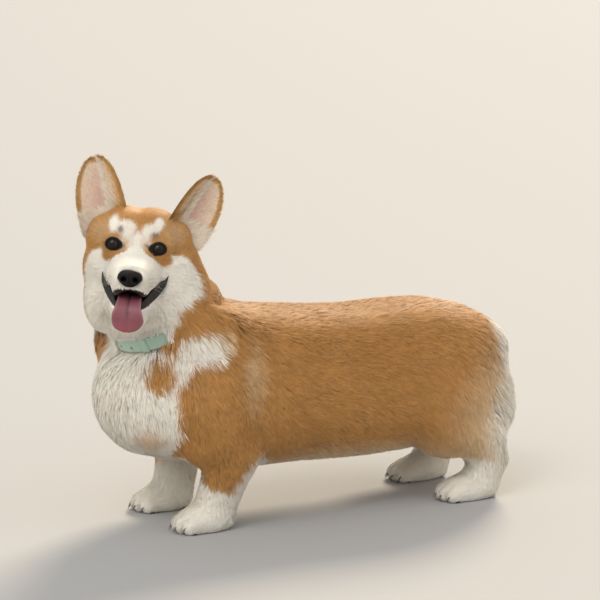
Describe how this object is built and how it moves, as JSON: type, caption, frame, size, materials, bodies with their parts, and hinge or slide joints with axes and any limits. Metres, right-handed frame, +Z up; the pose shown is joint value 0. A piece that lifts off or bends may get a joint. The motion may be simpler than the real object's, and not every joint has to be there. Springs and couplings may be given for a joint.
{
  "type": "pembroke welsh corgi",
  "caption": "Standing long-bodied, short-legged herding dog with upright ears, red and white coat, head turned to its left, mouth open with the tongue out, and a narrow collar.",
  "frame": {"origin": "centre of the bounding box's footprint, on the floor plane under the paws", "axes": "+Z up; the dog's body faces -Y, with its left side at +X; its head is turned to +X"},
  "size_m": [0.2422, 0.5782, 0.446],
  "materials": {
    "red_coat": "red-fawn fur, matt",
    "white_coat": "white fur, matt",
    "eye": "wet and dark brown",
    "nose": "bare, pebbled and moist",
    "tongue": "moist and soft",
    "collar": "mint green woven band"
  },
  "bodies": {
    "root": {"head": "red_coat", "lower_jaw": "white_coat", "neck": "red_coat", "chest": "red_coat", "barrel": "red_coat", "rump": "red_coat", "tail": "red_coat", "ear_left": "red_coat", "ear_right": "red_coat", "eye_left": "eye", "eye_right": "eye", "nose": "nose", "tongue": "tongue", "collar": "collar", "leg_front_left": "red_coat", "leg_front_right": "red_coat", "thigh_left": "red_coat", "thigh_right": "red_coat", "leg_hind_left": "white_coat", "leg_hind_right": "white_coat", "paw_front_left": "white_coat", "paw_front_right": "white_coat", "paw_hind_left": "white_coat", "paw_hind_right": "white_coat"}
  },
  "joints": []
}
